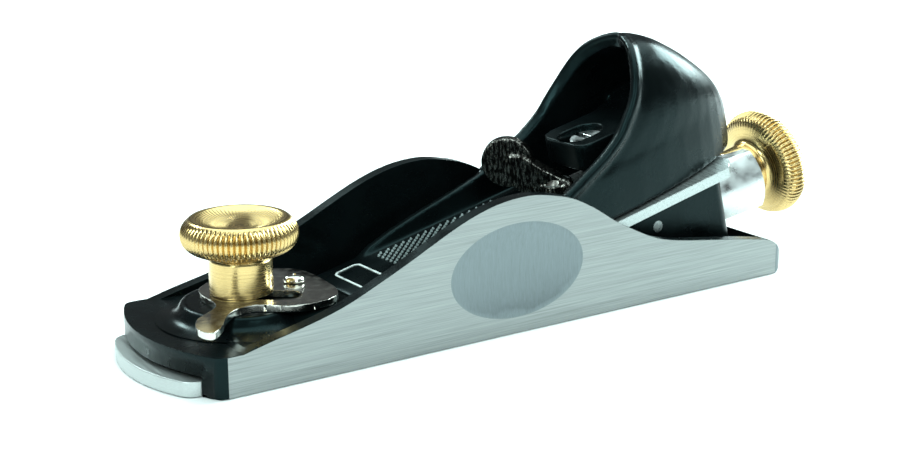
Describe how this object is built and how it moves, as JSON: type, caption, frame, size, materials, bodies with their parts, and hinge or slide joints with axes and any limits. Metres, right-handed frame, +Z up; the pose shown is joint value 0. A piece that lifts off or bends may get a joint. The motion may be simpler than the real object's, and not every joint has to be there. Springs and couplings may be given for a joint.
{
  "type": "block plane",
  "caption": "Low-angle block plane with ground cheeks, hooded palm-rest cap, turned front knob, adjustable toe plate and a rear wheel that feeds the iron.",
  "frame": {"origin": "on the sole, halfway along the casting and across its width", "axes": "+X from toe to heel, +Z up from the sole, +Y to the left of someone who pushes the plane towards its toe"},
  "size_m": [0.1811, 0.0446, 0.0585],
  "materials": {
    "casting": "ground grey sides and sole, gloss black enamel elsewhere",
    "black_enamel": "gloss black enamel on cast iron",
    "shoe_iron": "ground",
    "brass": "turned and lacquered",
    "nickel": "nickel plate",
    "satin_nickel": "satin nickel plate",
    "blade_steel": "ground",
    "steel": "bright"
  },
  "bodies": {
    "casting": {"body_casting": "casting", "eccentric_pivot": "nickel", "lateral_stud": "steel", "rocker_pin": "steel"},
    "toe_shoe": {"throat_plate": "shoe_iron"},
    "knob_thread": {"knob_stud": "steel"},
    "knob": {"front_knob": "brass"},
    "eccentric": {"eccentric_lever": "nickel"},
    "cap_screw": {"lever_cap_screw": "nickel"},
    "cap": {"lever_cap": "black_enamel", "cam_rivet": "nickel", "cam_washer": "steel"},
    "cam": {"cam_lever": "nickel"},
    "lateral": {"lateral_lever": "satin_nickel"},
    "slider": {"lateral_block": "steel"},
    "iron": {"plane_iron": "blade_steel"},
    "rocker": {"adjusting_lever": "steel"},
    "spindle": {"adjusting_screw": "steel", "adjusting_collar": "brass"},
    "wheel": {"adjusting_wheel": "brass"}
  },
  "joints": [
    {"name": "eccentric_swing", "type": "hinge", "parent": "casting", "child": "eccentric", "pos_m": [-0.0435, 0, 0.013], "axis": [0, 0, 1], "range_deg": [-50.05, 0]},
    {"name": "shoe_slide", "type": "slide", "parent": "casting", "child": "toe_shoe", "axis": [1, 0, 0], "range_m": [0, 0.003]},
    {"name": "knob_rise", "type": "slide", "parent": "toe_shoe", "child": "knob_thread", "axis": [0, 0, 1], "range_m": [0, 0.001]},
    {"name": "knob_turn", "type": "hinge", "parent": "knob_thread", "child": "knob", "pos_m": [-0.0561, 0, 0.02], "axis": [0, 0, 1], "range_deg": [0, 360.2]},
    {"name": "cap_screw_turn", "type": "hinge", "parent": "casting", "child": "cap_screw", "pos_m": [0.03715, 0, 0.02797], "axis": [-0.2334, 0, 0.9724], "range_deg": [-180, 180]},
    {"name": "cap_slide", "type": "slide", "parent": "casting", "child": "cap", "axis": [0.9724, 0, 0.2334], "range_m": [0, 0.0032]},
    {"name": "cam_swing", "type": "hinge", "parent": "cap", "child": "cam", "pos_m": [0.02692, 0, 0.02345], "axis": [-0.2334, 0, 0.9724], "range_deg": [0, 100]},
    {"name": "lateral_swing", "type": "hinge", "parent": "casting", "child": "lateral", "pos_m": [0.05945, 0, 0.02201], "axis": [-0.2334, 0, 0.9724], "range_deg": [-5, 5]},
    {"name": "iron_skew", "type": "hinge", "parent": "casting", "child": "slider", "pos_m": [0.03925, 0, 0.01921], "axis": [-0.2334, 0, 0.9724], "range_deg": [-1.02, 1.02]},
    {"name": "iron_feed", "type": "slide", "parent": "slider", "child": "iron", "axis": [0.9724, 0, 0.2334], "range_m": [-0.00125, 0.00125]},
    {"name": "rocker_tilt", "type": "hinge", "parent": "casting", "child": "rocker", "pos_m": [0.04691, 0, 0.01427], "axis": [0, 1, 0], "range_deg": [-11.6, 11.6]},
    {"name": "spindle_travel", "type": "slide", "parent": "casting", "child": "spindle", "axis": [0.9724, 0, 0.2334], "range_m": [-0.0008, 0.0008]},
    {"name": "wheel_spin", "type": "hinge", "parent": "spindle", "child": "wheel", "pos_m": [0.09161, 0, 0.02088], "axis": [0.9724, 0, 0.2334], "range_deg": [-360.2, 360.2]}
  ],
  "couplings": [
    {"joint": "eccentric_swing", "follows": "shoe_slide", "rad_per_m": -290.89},
    {"joint": "knob_turn", "follows": "knob_rise", "rad_per_m": 6283.2},
    {"joint": "iron_skew", "follows": "lateral_swing", "ratio": -0.20118},
    {"joint": "wheel_spin", "follows": "spindle_travel", "rad_per_m": 7854},
    {"joint": "rocker_tilt", "follows": "spindle_travel", "rad_per_m": -250},
    {"joint": "iron_feed", "follows": "spindle_travel", "ratio": -1.55}
  ]
}
